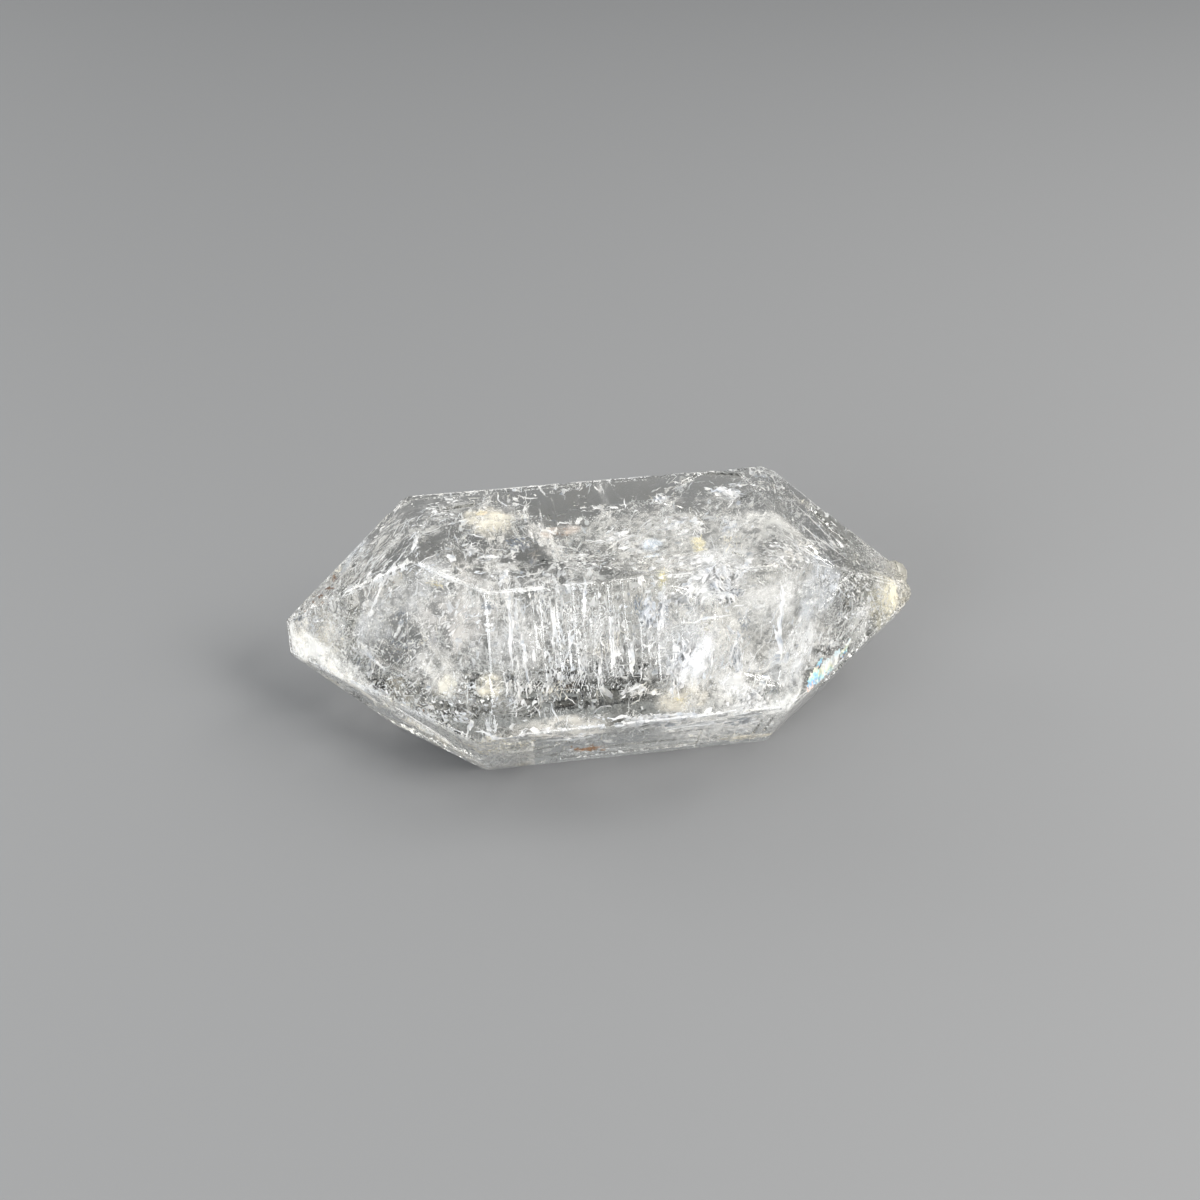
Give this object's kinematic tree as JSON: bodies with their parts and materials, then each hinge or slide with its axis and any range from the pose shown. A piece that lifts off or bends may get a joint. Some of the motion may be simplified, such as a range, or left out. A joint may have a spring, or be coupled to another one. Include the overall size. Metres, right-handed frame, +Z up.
{
  "type": "herkimer diamond",
  "caption": "Double-terminated quartz crystal: a six-sided prism with a six-sided point at each end, clear with white inner veils, lying on a prism face.",
  "frame": {"origin": "under the middle of the crystal, on the plane of the prism face it rests on", "axes": "+X along the crystal's long axis towards the worn, knobbed end, -Y towards the side the picture shows, +Z up"},
  "size_m": [0.0657, 0.0303, 0.0218],
  "materials": {
    "clear_quartz": "clear to milky quartz with a glassy lustre, white veils and healed cracks inside, fine growth lines and pits on the faces, and a few rusty stains"
  },
  "bodies": {
    "root": {"crystal": "clear_quartz"}
  },
  "joints": []
}
